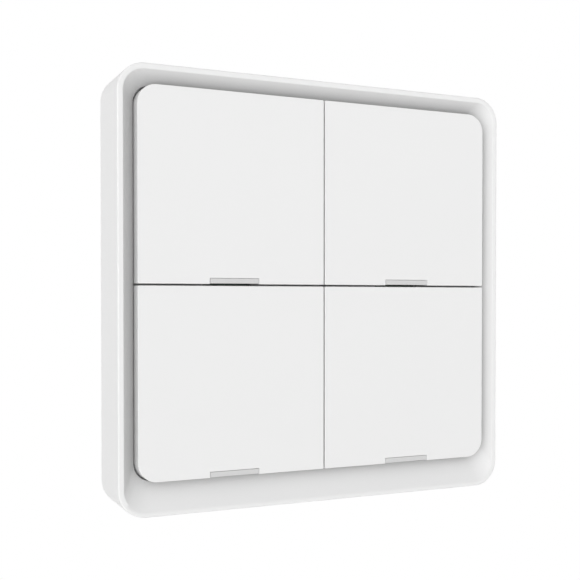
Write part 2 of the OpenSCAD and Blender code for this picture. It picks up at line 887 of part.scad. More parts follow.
battery_spider();
battery_leaf();
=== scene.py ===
"""Dresses a four-key wireless wall switch: its moulded frame, keys, light windows, rear case and wall plate.

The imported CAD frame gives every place. New meshes are modelled in millimetres, lying on their back with x to
the right, y up the face and z out of the wall, and are then stood on the wall in metres.
"""

from __future__ import annotations

import json
import logging
import math
from abc import ABC, abstractmethod
from dataclasses import dataclass, field
from enum import Enum
from typing import Any, Callable, Iterable

import bmesh
import bpy
from mathutils import Matrix, Vector


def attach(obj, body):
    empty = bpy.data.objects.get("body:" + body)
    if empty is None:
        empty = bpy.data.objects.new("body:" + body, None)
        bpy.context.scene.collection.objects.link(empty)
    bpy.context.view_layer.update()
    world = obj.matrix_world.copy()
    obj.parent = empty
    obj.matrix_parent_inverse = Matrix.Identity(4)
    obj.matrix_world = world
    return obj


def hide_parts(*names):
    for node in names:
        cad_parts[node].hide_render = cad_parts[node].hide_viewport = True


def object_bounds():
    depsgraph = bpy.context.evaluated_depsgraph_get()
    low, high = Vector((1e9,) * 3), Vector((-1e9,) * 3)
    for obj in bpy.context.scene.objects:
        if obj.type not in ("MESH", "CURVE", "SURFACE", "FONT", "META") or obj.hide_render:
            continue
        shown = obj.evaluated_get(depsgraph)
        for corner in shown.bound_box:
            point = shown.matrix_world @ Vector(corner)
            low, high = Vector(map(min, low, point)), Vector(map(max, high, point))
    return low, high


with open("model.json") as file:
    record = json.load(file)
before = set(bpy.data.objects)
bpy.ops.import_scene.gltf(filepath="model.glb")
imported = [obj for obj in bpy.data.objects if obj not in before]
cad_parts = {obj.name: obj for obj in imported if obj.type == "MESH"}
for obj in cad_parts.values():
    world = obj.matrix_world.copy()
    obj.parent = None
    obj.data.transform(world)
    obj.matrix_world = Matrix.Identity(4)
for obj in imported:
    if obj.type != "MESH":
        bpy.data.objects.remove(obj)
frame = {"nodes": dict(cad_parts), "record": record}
CAD_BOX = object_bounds()

LOG = logging.getLogger("wall_switch")
MM = 0.001
# Places closer than this, in millimetres, are taken as one
TOUCH = 0.01
# Corners closer than this, in millimetres, are merged in copies of CAD meshes and in turned pieces
CAD_MERGE = 0.0005
LATHE_MERGE = 0.0001
# A cut goes through a corner that is closer to it than this, in millimetres
CUT_MERGE = 0.00001
# CAD triangles that lie flatter to each other than this, in degrees, become one face
FLAT_DEG = 0.3
# A wave texture counts 20 radians to the unit
WAVE_RADIANS = 20.0
BENCH_TO_WALL = Matrix.Rotation(math.radians(90.0), 4, "X") @ Matrix.Scale(MM, 4)
WALL_TO_BENCH = BENCH_TO_WALL.inverted()
IMAGE_SIDE_PX = 580.0
SENSOR_MM = 36.0


class Slot(Enum):
    """The record's material slots."""

    MOULDED_WHITE = "moulded_white"
    PLATE_WHITE = "plate_white"
    TRAY_GREY = "tray_grey"
    CARRIER_GREY = "carrier_grey"
    FROSTED_CLEAR = "frosted_clear"
    NICKEL = "nickel"
    ZINC_STEEL = "zinc_steel"
    BOARD_GREEN = "board_green"
    RADIO_BLUE = "radio_blue"
    BLACK_NYLON = "black_nylon"
    PLUNGER_GREY = "plunger_grey"
    LAMP_RESIN = "lamp_resin"
    CHIP_BROWN = "chip_brown"
    CELL_STEEL = "cell_steel"
    GILT_BRONZE = "gilt_bronze"


class Body(Enum):
    """The CAD bodies that new pieces ride on."""

    PLATE = "plate"
    HOUSING = "housing"
    UPPER_LEFT = "upper_left_key"
    UPPER_RIGHT = "upper_right_key"
    LOWER_LEFT = "lower_left_key"
    LOWER_RIGHT = "lower_right_key"


class Brushing(Enum):
    """The direction of the fine lines that working leaves in a metal."""

    STRAIGHT = "straight"
    ROUND = "round"


def linear(hex_colour: str) -> tuple[float, float, float, float]:
    """Turns an sRGB hex colour into linear light.

    Args:
        hex_colour: Six hex digits, with or without a leading hash.

    Returns:
        Red, green, blue and an alpha of 1.
    """
    digits = hex_colour.lstrip("#")
    channels = [int(digits[i : i + 2], 16) / 255.0 for i in (0, 2, 4)]
    red, green, blue = (c / 12.92 if c <= 0.04045 else ((c + 0.055) / 1.055) ** 2.4 for c in channels)
    return red, green, blue, 1.0


def per_mm(size_mm: float) -> float:
    """Returns the texture scale at which one cell of a pattern is that many millimetres wide."""
    return 1.0 / (size_mm * MM)


def add_node(
    tree: bpy.types.NodeTree, kind: str, inputs: dict[str | int, Any] | None = None, **settings: Any
) -> bpy.types.Node:
    """Adds a shader node with its settings, values and links.

    Args:
        tree: The node tree that it goes into.
        kind: The node's type name.
        inputs: Socket names or numbers, each with a value to set or an output socket to link.
        settings: Properties of the node itself.

    Returns:
        The new node.
    """
    node = tree.nodes.new(kind)
    for name, value in settings.items():
        setattr(node, name, value)
    for name, value in (inputs or {}).items():
        if isinstance(value, bpy.types.NodeSocket):
            tree.links.new(value, node.inputs[name])
        else:
            node.inputs[name].default_value = value
    return node


@dataclass(frozen=True)
class Finish(ABC):
    """A surface finish, made as a node material on Object coordinates."""

    name: str
    slot: Slot

    @abstractmethod
    def paint(self, tree: bpy.types.NodeTree, shader: bpy.types.Node, place: bpy.types.NodeSocket) -> None:
        """Sets the shader's sockets and links its patterns."""

    def material(self) -> bpy.types.Material:
        """Returns the material, made on first use."""
        made = bpy.data.materials.get(self.name)
        if made is None:
            made = bpy.data.materials.new(self.name)
            made.use_nodes = True
            tree = made.node_tree
            tree.nodes.clear()
            place = add_node(tree, "ShaderNodeTexCoord").outputs["Object"]
            shader = add_node(tree, "ShaderNodeBsdfPrincipled")
            add_node(tree, "ShaderNodeOutputMaterial", {"Surface": shader.outputs["BSDF"]})
            self.paint(tree, shader, place)
        return made


@dataclass(frozen=True)
class MouldedPlastic(Finish):
    """Injection-moulded plastic: a soft satin sheen over the fine grit that the steel mould leaves."""

    tone: str
    shade: str
    roughness: float
    ior: float
    cloud_mm: float = 18.0
    grit_mm: float = 0.3
    relief_mm: float = 0.004
    spread: float = 0.04
    # Painted shade: the grey that narrow recesses are darkened towards (empty for none), and how far the shade
    # reaches in millimetres
    painted_shade_tone: str = ""
    painted_shade_reach_mm: float = 8.0

    def paint(self, tree: bpy.types.NodeTree, shader: bpy.types.Node, place: bpy.types.NodeSocket) -> None:
        """Lays cloudy flow marks under an even moulded grit, and paints shade into narrow recesses."""
        shader.inputs["IOR"].default_value = self.ior
        # Melt flow leaves cloudy patches a couple of centimetres wide, a shade apart
        cloud = add_node(
            tree, "ShaderNodeTexNoise", {"Vector": place, "Scale": per_mm(self.cloud_mm), "Detail": 2.0}
        )
        colour = add_node(
            tree,
            "ShaderNodeMix",
            {"Factor": cloud.outputs["Fac"], "A": linear(self.tone), "B": linear(self.shade)},
            data_type="RGBA",
        )
        # Real spark-eroded grit is about 0.1 mm, too fine to show, so it is drawn three times as coarse
        grit = add_node(
            tree, "ShaderNodeTexNoise", {"Vector": place, "Scale": per_mm(self.grit_mm), "Detail": 3.0}
        )
        sheen = add_node(
            tree,
            "ShaderNodeMapRange",
            {
                "Value": grit.outputs["Fac"],
                "To Min": self.roughness - self.spread,
                "To Max": self.roughness + self.spread,
            },
        )
        bump = add_node(
            tree,
            "ShaderNodeBump",
            {"Height": grit.outputs["Fac"], "Distance": self.relief_mm * MM, "Strength": 1.0},
        )
        if self.painted_shade_tone:
            # Painted shade: an ambient-occlusion mask darkens corners and gaps a few millimetres deep towards
            # a grey tone, darker than soft light alone leaves white plastic there
            painted_shade_mask = add_node(tree, "ShaderNodeAmbientOcclusion", {"Distance": self.painted_shade_reach_mm * MM})
            colour = add_node(
                tree,
                "ShaderNodeMix",
                {
                    "Factor": painted_shade_mask.outputs["AO"],
                    "A": linear(self.painted_shade_tone),
                    "B": colour.outputs["Result"],
                },
                data_type="RGBA",
            )
        tree.links.new(colour.outputs["Result"], shader.inputs["Base Color"])
        tree.links.new(sheen.outputs["Result"], shader.inputs["Roughness"])
        tree.links.new(bump.outputs["Normal"], shader.inputs["Normal"])


@dataclass(frozen=True)
class FrostedPlastic(Finish):
    """Clear plastic from a frosted mould: milky, with light spread inside it."""

    tone: str
    core: str
    roughness: float
    ior: float
    clearness: float
    haze_mm: float = 0.8
    frost_mm: float = 0.25
    relief_mm: float = 0.006
    spread: float = 0.08

    def paint(self, tree: bpy.types.NodeTree, shader: bpy.types.Node, place: bpy.types.NodeSocket) -> None:
        """Mixes the haze of the clear core with the frosted skin."""
        shader.inputs["IOR"].default_value = self.ior
        shader.inputs["Transmission Weight"].default_value = self.clearness
        # Haze inside the plastic varies over less than a millimetre
        haze = add_node(
            tree, "ShaderNodeTexNoise", {"Vector": place, "Scale": per_mm(self.haze_mm), "Detail": 2.0}
        )
        colour = add_node(
            tree,
            "ShaderNodeMix",
            {"Factor": haze.outputs["Fac"], "A": linear(self.tone), "B": linear(self.core)},
            data_type="RGBA",
        )
        # Etched frosting is about 0.05 mm, too fine to show, so it is drawn five times as coarse
        frost = add_node(
            tree, "ShaderNodeTexNoise", {"Vector": place, "Scale": per_mm(self.frost_mm), "Detail": 2.0}
        )
        sheen = add_node(
            tree,
            "ShaderNodeMapRange",
            {
                "Value": frost.outputs["Fac"],
                "To Min": self.roughness - self.spread,
                "To Max": self.roughness + self.spread,
            },
        )
        bump = add_node(
            tree,
            "ShaderNodeBump",
            {"Height": frost.outputs["Fac"], "Distance": self.relief_mm * MM, "Strength": 1.0},
        )
        tree.links.new(colour.outputs["Result"], shader.inputs["Base Color"])
        tree.links.new(sheen.outputs["Result"], shader.inputs["Roughness"])
        tree.links.new(bump.outputs["Normal"], shader.inputs["Normal"])


@dataclass(frozen=True)
class PlatedMetal(Finish):
    """Plated sheet metal: mottled plating over the fine lines of the rolled or turned metal."""

    tone: str
    shade: str
    roughness: float
    brushing: Brushing = Brushing.STRAIGHT
    line_mm: float = 0.15
    line_stretch: float = 40.0
    ring_waver: float = 1.5
    mottle_mm: float = 1.2
    relief_mm: float = 0.002
    spread: float = 0.06

    def paint(self, tree: bpy.types.NodeTree, shader: bpy.types.Node, place: bpy.types.NodeSocket) -> None:
        """Breaks the reflection with fine lines and a faint mottle."""
        shader.inputs["Metallic"].default_value = 1.0
        # Plating crystals and handling leave a faint mottle about a millimetre wide
        mottle = add_node(
            tree, "ShaderNodeTexNoise", {"Vector": place, "Scale": per_mm(self.mottle_mm), "Detail": 4.0}
        )
        colour = add_node(
            tree,
            "ShaderNodeMix",
            {"Factor": mottle.outputs["Fac"], "A": linear(self.tone), "B": linear(self.shade)},
            data_type="RGBA",
        )
        if self.brushing is Brushing.ROUND:
            # Polishing on a wheel leaves rings about the piece's own axis, which stands on the origin. Real
            # ones are too fine to show, so they are drawn about a millimetre apart
            lines = add_node(
                tree,
                "ShaderNodeTexWave",
                {
                    "Vector": place,
                    "Scale": per_mm(self.line_mm) / WAVE_RADIANS,
                    "Distortion": self.ring_waver,
                    "Detail": 3.0,
                },
                wave_type="RINGS",
                rings_direction="Y",
            )
        else:
            # Rolling leaves lines along x, many times as long as they are wide. Real ones are too fine to
            # show, so they are drawn 0.15 mm wide
            stretch = add_node(
                tree, "ShaderNodeMapping", {"Vector": place, "Scale": (1.0 / self.line_stretch, 1.0, 1.0)}
            )
            lines = add_node(
                tree,
                "ShaderNodeTexNoise",
                {"Vector": stretch.outputs["Vector"], "Scale": per_mm(self.line_mm), "Detail": 2.0},
            )
        height = lines.outputs["Fac"]
        sheen = add_node(
            tree,
            "ShaderNodeMapRange",
            {"Value": height, "To Min": self.roughness - self.spread, "To Max": self.roughness + self.spread},
        )
        bump = add_node(
            tree, "ShaderNodeBump", {"Height": height, "Distance": self.relief_mm * MM, "Strength": 1.0}
        )
        tree.links.new(colour.outputs["Result"], shader.inputs["Base Color"])
        tree.links.new(sheen.outputs["Result"], shader.inputs["Roughness"])
        tree.links.new(bump.outputs["Normal"], shader.inputs["Normal"])


@dataclass(frozen=True)
class SolderMask(Finish):
    """Lacquer over a glass-fibre board: glossy, with the copper tracks raised and paler beneath it."""

    tone: str
    track: str
    roughness: float
    ior: float = 1.5
    track_pitch_mm: float = 2.54
    track_run: float = 3.0
    track_mm: float = 0.3
    track_height: float = 0.15
    weave_mm: float = 0.5
    relief_mm: float = 0.02

    def paint(self, tree: bpy.types.NodeTree, shader: bpy.types.Node, place: bpy.types.NodeSocket) -> None:
        """Draws tracks on the board's grid, over the faint weave of the glass cloth."""
        shader.inputs["IOR"].default_value = self.ior
        shader.inputs["Roughness"].default_value = self.roughness
        # The board stands upright, so its grid is turned from x and z to the texture's x and y
        flat = add_node(
            tree, "ShaderNodeMapping", {"Vector": place, "Rotation": (math.radians(-90.0), 0.0, 0.0)}
        )
        # Tracks run on the board's grid, three steps long, with every other row offset
        tracks = add_node(
            tree,
            "ShaderNodeTexBrick",
            {
                "Vector": flat.outputs["Vector"],
                "Color1": linear(self.tone),
                "Color2": linear(self.tone),
                "Mortar": linear(self.track),
                "Scale": 1.0,
                "Mortar Size": self.track_mm * MM / 2.0,
                "Mortar Smooth": 0.2,
                "Brick Width": self.track_run * self.track_pitch_mm * MM,
                "Row Height": self.track_pitch_mm * MM,
            },
        )
        # The threads of the glass cloth show through as a faint unevenness, half a millimetre wide
        weave = add_node(
            tree,
            "ShaderNodeTexNoise",
            {"Vector": flat.outputs["Vector"], "Scale": per_mm(self.weave_mm), "Detail": 1.0},
        )
        height = add_node(
            tree,
            "ShaderNodeMath",
            {0: tracks.outputs["Fac"], 1: self.track_height, 2: weave.outputs["Fac"]},
            operation="MULTIPLY_ADD",
        )
        bump = add_node(
            tree,
            "ShaderNodeBump",
            {"Height": height.outputs["Value"], "Distance": self.relief_mm * MM, "Strength": 0.6},
        )
        tree.links.new(tracks.outputs["Color"], shader.inputs["Base Color"])
        tree.links.new(bump.outputs["Normal"], shader.inputs["Normal"])


# ABS from a satin mould, for the frame: an even white with a soft sheen, and painted shade that greys the dish
FRAME_ABS = MouldedPlastic(
    "satin_white_abs",
    Slot.MOULDED_WHITE,
    "#EEEEEE",
    "#EDEDED",
    roughness=0.5,
    ior=1.53,
    painted_shade_tone="#A8A8A8",
)
# The keys' ABS comes from a smoother mould: the same white, a little glossier, with lighter painted shade in
# its seams than the frame's dish
KEY_ABS = MouldedPlastic(
    "smooth_white_abs",
    Slot.MOULDED_WHITE,
    "#EEEEEE",
    "#EDEDED",
    roughness=0.45,
    ior=1.53,
    painted_shade_tone="#D2D2D2",
)
# ABS from a textured mould, for the back: duller, and a shade greyer than the front
PLATE_ABS = MouldedPlastic(
    "textured_white_abs", Slot.PLATE_WHITE, "#EBEBEA", "#E8E8E7", roughness=0.55, ior=1.53
)
TRAY_ABS = MouldedPlastic(
    "textured_pale_abs", Slot.TRAY_GREY, "#DFDFDE", "#DBDBDA", roughness=0.55, ior=1.53
)
# Acetal is waxy and slightly glossier than ABS
CARRIER_ACETAL = MouldedPlastic(
    "pale_acetal", Slot.CARRIER_GREY, "#D5D6D6", "#D1D2D2", roughness=0.38, ior=1.48
)
PLUNGER_ACETAL = MouldedPlastic(
    "dark_acetal", Slot.PLUNGER_GREY, "#828285", "#7D7D80", roughness=0.38, ior=1.48
)
# Heat-proof nylon: a dull near-black
SWITCH_NYLON = MouldedPlastic(
    "black_nylon", Slot.BLACK_NYLON, "#303032", "#2B2B2D", roughness=0.5, ior=1.53
)
# Polycarbonate with an etched skin: milky grey beside the white keys
WINDOW_FROST = FrostedPlastic(
    "frosted_polycarbonate", Slot.FROSTED_CLEAR, "#DEDEDE", "#DADADA", roughness=0.5, ior=1.58, clearness=0.1
)
# Cast epoxy: cloudy and glossy, and faintly yellow
LAMP_RESIN = FrostedPlastic(
    "cast_lamp_resin", Slot.LAMP_RESIN, "#EEE9D5", "#E8E0C4", roughness=0.25, ior=1.52, clearness=0.3
)
# Fired ceramic chips have a fine, slightly glossy skin
CHIP_CERAMIC = MouldedPlastic(
    "fired_ceramic",
    Slot.CHIP_BROWN,
    "#9C8267",
    "#8F7459",
    roughness=0.35,
    ior=1.6,
    cloud_mm=0.6,
    grit_mm=0.08,
)
# Nickel on a sintered magnet: warm and bright
MAGNET_NICKEL = PlatedMetal("bright_nickel_plate", Slot.NICKEL, "#DCDAD4", "#D2CFC8", roughness=0.22)
# Zinc on steel: cooler and duller than nickel
ZINC_PLATE = PlatedMetal("zinc_plated_steel", Slot.ZINC_STEEL, "#CCCED0", "#C0C3C6", roughness=0.36)
# A pressed steel can, polished on a wheel: bright, with faint rings
CELL_STEEL = PlatedMetal(
    "polished_cell_steel", Slot.CELL_STEEL, "#DADAD8", "#D0D0CE", roughness=0.26, brushing=Brushing.ROUND
)
# Bronze strip with a thin gilding: a warm pale yellow
GILT_BRONZE = PlatedMetal("gilt_spring_bronze", Slot.GILT_BRONZE, "#E4CB94", "#D9BD80", roughness=0.28)
# A greyish green lacquer, pale enough to leave the seams between the keys neutral
BOARD_MASK = SolderMask("green_solder_mask", Slot.BOARD_GREEN, "#748A7C", "#8DA194", roughness=0.3)
# The radio's small board is blue, with tracks on half the grid
RADIO_MASK = SolderMask(
    "blue_solder_mask", Slot.RADIO_BLUE, "#38507C", "#4F6A98", roughness=0.3, track_pitch_mm=1.27
)
# The finish that goes with each slot, for pieces that stay as the CAD has them
FINISHES = {
    finish.slot: finish
    for finish in (
        FRAME_ABS,
        PLATE_ABS,
        TRAY_ABS,
        CARRIER_ACETAL,
        PLUNGER_ACETAL,
        SWITCH_NYLON,
        WINDOW_FROST,
        LAMP_RESIN,
        CHIP_CERAMIC,
        MAGNET_NICKEL,
        ZINC_PLATE,
        CELL_STEEL,
        GILT_BRONZE,
        BOARD_MASK,
        RADIO_MASK,
    )
}


@dataclass(frozen=True)
class Outline:
    """A rectangle with round corners, in millimetres."""

    left: float
    right: float
    bottom: float
    top: float
    radius: float

    @classmethod
    def square(cls, half: float, radius: float) -> Outline:
        """Returns a square about the middle of the face."""
        return cls(-half, half, -half, half, radius)

    def ring(self, bm: bmesh.types.BMesh, level: float, segments: int) -> list[bmesh.types.BMEdge]:
        """Draws the outline as a loop of edges.

        Args:
            bm: The mesh that it goes into.
            level: Height above the wall.
            segments: Edges in each round corner.

        Returns:
            The loop's edges.
        """
        earlier = set(bm.edges)
        places = (
            (self.left, self.bottom),
            (self.right, self.bottom),
            (self.right, self.top),
            (self.left, self.top),
        )
        corners = [bm.verts.new((x, y, level)) for x, y in places]
        # The corners are rounded on a face, which is then taken away
        bm.faces.new(corners)
        bmesh.ops.bevel(
            bm,
            geom=corners,
            offset=self.radius,
            segments=segments,
            profile=0.5,
            affect="VERTICES",
            material=-1,
        )
        loop = [edge for edge in bm.edges if edge not in earlier]
        bmesh.ops.delete(bm, geom=list(loop[0].link_faces), context="FACES_ONLY")
        return loop


def round_edges(
    bm: bmesh.types.BMesh, edges: Iterable[bmesh.types.BMEdge], radius: float, segments: int
) -> None:
    """Rounds edges of a mesh.

    Args:
        bm: The mesh.
        edges: The edges to round.
        radius: How far the rounding reaches into the faces beside an edge.
        segments: Faces across the rounding.
    """
    bmesh.ops.bevel(
        bm,
        geom=list(edges),
        offset=radius,
        offset_type="OFFSET",
        segments=segments,
        profile=0.5,
        affect="EDGES",
        clamp_overlap=True,
        material=-1,
    )


def sharp_edges(
    bm: bmesh.types.BMesh, where: Callable[[Vector], bool], least_deg: float = 30.0
) -> list[bmesh.types.BMEdge]:
    """Finds the sharp edges whose two ends pass a test.

    Args:
        bm: The mesh.
        where: The test of an end's place.
        least_deg: The least turn between the two faces of a sharp edge.

    Returns:
        The edges found.
    """
    least = math.radians(least_deg)
    return [
        edge
        for edge in bm.edges
        if edge.is_manifold and edge.calc_face_angle() > least and all(where(vert.co) for vert in edge.verts)
    ]


def cad_copy(node: str) -> bmesh.types.BMesh:
    """Copies a CAD node's mesh to the bench and merges its loose triangles.

    Args:
        node: The node's name.

    Returns:
        The merged copy, in millimetres.
    """
    bm = bmesh.new()
    bm.from_mesh(frame["nodes"][node].data)
    bmesh.ops.transform(bm, matrix=WALL_TO_BENCH, verts=bm.verts)
    bmesh.ops.remove_doubles(bm, verts=bm.verts, dist=CAD_MERGE)
    bmesh.ops.dissolve_limit(
        bm,
        angle_limit=math.radians(FLAT_DEG),
        verts=bm.verts,
        edges=bm.edges,
        use_dissolve_boundaries=False,
    )
    return bm


def turned(
    bm: bmesh.types.BMesh, profile: Iterable[tuple[float, float]], x: float, y: float, steps: int = 64
) -> None:
    """Turns a profile about an axis through a point of the face, as on a lathe.

    Args:
        bm: The mesh that it goes into.
        profile: Radius and height of each point, from the axis round to the axis again.
        x: The axis's place across the face.
        y: The axis's place up the face.
        steps: Faces round the axis.
    """
    points = [bm.verts.new((x + radius, y, level)) for radius, level in profile]
    edges = [bm.edges.new(pair) for pair in zip(points, points[1:])]
    bmesh.ops.spin(
        bm,
        geom=points + edges,
        cent=(x, y, 0.0),
        axis=(0.0, 0.0, 1.0),
        angle=math.tau,
        steps=steps,
        use_merge=True,
        use_duplicate=False,
    )


def stand(name: str, bm: bmesh.types.BMesh, crease_deg: float = 40.0) -> bpy.types.Object:
    """Shades a bench mesh, stands it on the wall and makes it an object.

    Args:
        name: The piece's name.
        bm: The mesh, which is used up.
        crease_deg: The turn between two faces above which their edge stays sharp.

    Returns:
        The piece, at the origin with its place in its mesh.
    """
    crease = math.radians(crease_deg)
    for face in bm.faces:
        face.smooth = True
    for edge in bm.edges:
        edge.smooth = edge.is_manifold and edge.calc_face_angle() < crease
    bmesh.ops.transform(bm, matrix=BENCH_TO_WALL, verts=bm.verts)
    mesh = bpy.data.meshes.new(name)
    bm.to_mesh(mesh)
    bm.free()
    # A copy of a CAD mesh brings normals along, which no longer fit once its edges are rounded
    stale = mesh.attributes.get("custom_normal")
    if stale is not None:
        mesh.attributes.remove(stale)
    piece = bpy.data.objects.new(name, mesh)
    bpy.context.scene.collection.objects.link(piece)
    even = piece.modifiers.new("even_normals", "WEIGHTED_NORMAL")
    even.keep_sharp = True
    return piece


def dress(piece: bpy.types.Object, finish: Finish, body: Body, *nodes: str) -> bpy.types.Object:
    """Gives a new piece its finish, and sets it on its body in place of its CAD nodes.

    Args:
        piece: The piece.
        finish: Its finish.
        body: The body that it rides on.
        nodes: The CAD nodes that it stands for.

    Returns:
        The piece.
    """
    piece.data.materials.clear()
    piece.data.materials.append(finish.material())
    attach(piece, body.value)
    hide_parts(*nodes)
    LOG.info("%s: %d faces, %s, on %s", piece.name, len(piece.data.polygons), finish.name, body.value)
    return piece


@dataclass
class Bezel:
    """The moulded frame: skirt, narrow rim, and the dish that slopes down to the keys.

    Sizes are in millimetres, and levels are heights above the wall.
    """

    half_width: float = 43.0
    corner_radius: float = 5.4
    depth: float = 14.0
    wall_gap: float = 0.3
    skirt: float = 1.8
    rim: float = 1.1
    rim_round: float = 0.3
    dish_edge_round: float = 0.12
    # Tighter in its corners than the keys, so that a dark crescent shows there
    opening: Outline = Outline(-39.3, 39.3, -36.55, 39.3, 3.4)
    dish_level: float = 11.2
    inner_level: float = 9.45
    back_round: float = 0.15
    notch_width: float = 12.0
    notch_depth: float = 1.0
    corner_segments: int = 20
    ring_spread: float = 50.0

    def inset(self, by: float) -> Outline:
        """Returns the frame's outline, drawn in."""
        return Outline.square(self.half_width - by, self.corner_radius - by)

    def cut_pry_notch(self, bm: bmesh.types.BMesh) -> None:
        """Cuts the notch for a flat blade into the back edge of the bottom skirt."""
        inner = -self.half_width + self.skirt + TOUCH
        half = self.notch_width / 2.0
        roof = self.wall_gap + self.notch_depth
        straight = self.half_width - self.corner_radius
        # A point of each cut, its direction, and how far from the middle the walls lie that it goes through
        cuts = (
            ((-half, 0, 0), (1, 0, 0), straight),
            ((half, 0, 0), (1, 0, 0), straight),
            ((0, 0, roof), (0, 0, 1), half),
        )
        for point, normal, reach in cuts:
            wall = [
                face
                for face in bm.faces
                if all(vert.co.y < inner for vert in face.verts)
                and any(vert.co.z < roof - TOUCH for vert in face.verts)
                and abs(face.calc_center_median().x) < reach
            ]
            edges = {edge for face in wall for edge in face.edges}
            verts = {vert for face in wall for vert in face.verts}
            bmesh.ops.bisect_plane(
                bm, geom=[*wall, *edges, *verts], dist=CUT_MERGE, plane_co=point, plane_no=normal
            )
        gone = []
        for face in bm.faces:
            middle = face.calc_center_median()
            if middle.y < inner and abs(middle.x) < half and middle.z < roof:
                gone.append(face)
        bmesh.ops.delete(bm, geom=gone, context="FACES")
        rims = [edge for edge in bm.edges if edge.is_boundary]
        sides = [edge for edge in rims if abs(edge.verts[0].co.y - edge.verts[1].co.y) < TOUCH]
        bmesh.ops.bridge_loops(bm, edges=sides)
        # The cuts run on above the notch, where the wall is whole again
        seams = [
            edge
            for edge in bm.edges
            if all(vert.co.y < inner and abs(abs(vert.co.x) - half) < TOUCH for vert in edge.verts)
            and any(vert.co.z > roof + TOUCH for vert in edge.verts)
            and abs(edge.verts[0].co.x - edge.verts[1].co.x) < TOUCH
        ]
        bmesh.ops.dissolve_edges(bm, edges=seams, use_verts=True)

    def build(self) -> bpy.types.Object:
        """Returns the frame, swept through its stations from the opening round to the inside of the skirt."""
        bm = bmesh.new()
        stations = (
            (self.opening, self.inner_level),
            (self.opening, self.dish_level),
            (self.inset(self.rim), self.depth),
            (self.inset(0.0), self.depth),
            (self.inset(0.0), self.wall_gap),
            (self.inset(self.skirt), self.wall_gap),
            (self.inset(self.skirt), self.inner_level),
        )
        # Rings on one level would be joined with a twist, so all are joined spread apart and then moved
        rings = [
            outline.ring(bm, place * self.ring_spread, self.corner_segments)
            for place, (outline, _) in enumerate(stations)
        ]
        for near, far in zip(rings, rings[1:] + rings[:1]):
            bmesh.ops.bridge_loops(bm, edges=near + far)
        for loop, (_, level) in zip(rings, stations):
            for vert in {vert for edge in loop for vert in edge.verts}:
                vert.co.z = level
        bmesh.ops.recalc_face_normals(bm, faces=bm.faces)
        # The fourth ring is the outer edge of the front
        round_edges(bm, rings[3], self.rim_round, segments=6)
        inner_rim = self.half_width - self.rim
        dish_edges = sharp_edges(
            bm, lambda at: at.z > self.depth - TOUCH and max(abs(at.x), abs(at.y)) < inner_rim + TOUCH
        )
        round_edges(bm, dish_edges, self.dish_edge_round, segments=3)
        self.cut_pry_notch(bm)
        bmesh.ops.recalc_face_normals(bm, faces=bm.faces)
        notch_roof = self.wall_gap + self.notch_depth
        back_edges = sharp_edges(bm, lambda at: at.z < notch_roof + TOUCH)
        round_edges(bm, back_edges, self.back_round, segments=2)
        bmesh.ops.recalc_face_normals(bm, faces=bm.faces)
        return stand("frame_bezel", bm)

    def dress(self) -> None:
        """Builds the frame and gives it its white moulded finish."""
        dress(self.build(), FRAME_ABS, Body.HOUSING, "bezel")


@dataclass
class Key:
    """One hinged key and the light window in its bottom edge. Sizes are in millimetres."""

    place: str
    body: Body
    face_level: float = 14.0
    edge_round: float = 0.1
    window_round: float = 0.05
    # The window ends this far above its CAD edge, which leaves a darker line below it
    window_lift: float = 0.07

    def build_cap(self) -> bpy.types.Object:
        """Returns the key, with the edges of its face rounded."""
        bm = cad_copy(f"key_{self.place}")
        face_edges = sharp_edges(bm, lambda at: at.z > self.face_level - TOUCH)
        round_edges(bm, face_edges, self.edge_round, segments=3)
        return stand(f"cap_{self.place}", bm)

    def build_window(self) -> bpy.types.Object:
        """Returns the light guide, drawn up from the key's edge and with its window's edges rounded."""
        bm = cad_copy(f"light_guide_{self.place}")
        low = min(vert.co.y for vert in bm.verts)
        underside = [vert for vert in bm.verts if vert.co.y < low + TOUCH]
        bmesh.ops.translate(bm, vec=(0.0, self.window_lift, 0.0), verts=underside)
        face_edges = sharp_edges(bm, lambda at: at.z > self.face_level - TOUCH)
        round_edges(bm, face_edges, self.window_round, segments=2)
        return stand(f"window_{self.place}", bm)

    def dress(self) -> None:
        """Builds the key and its window and gives them their finishes."""
        dress(self.build_cap(), KEY_ABS, self.body, f"key_{self.place}")
        dress(self.build_window(), WINDOW_FROST, self.body, f"light_guide_{self.place}")


